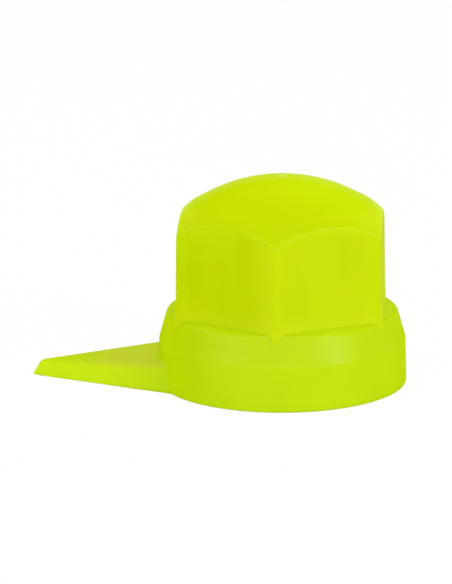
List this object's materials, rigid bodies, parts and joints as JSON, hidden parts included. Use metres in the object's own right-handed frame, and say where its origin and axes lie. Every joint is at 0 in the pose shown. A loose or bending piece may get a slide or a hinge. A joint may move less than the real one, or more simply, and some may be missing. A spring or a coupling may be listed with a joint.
{
  "type": "loose wheel nut indicator cap",
  "caption": "Moulded plastic cap that pushes over a hexagonal wheel nut: domed hexagonal body, round collar and a flat pointer that shows if the nut turns.",
  "frame": {"origin": "on the nut's axis, in the plane of the open base", "axes": "+Z along the nut's axis to the top of the dome, -X along the pointer to its tip"},
  "size_m": [0.0689, 0.0454, 0.038],
  "materials": {
    "cap_plastic": "satin fluorescent yellow-green polyethylene"
  },
  "bodies": {
    "root": {"indicator_cap": "cap_plastic"}
  },
  "joints": []
}
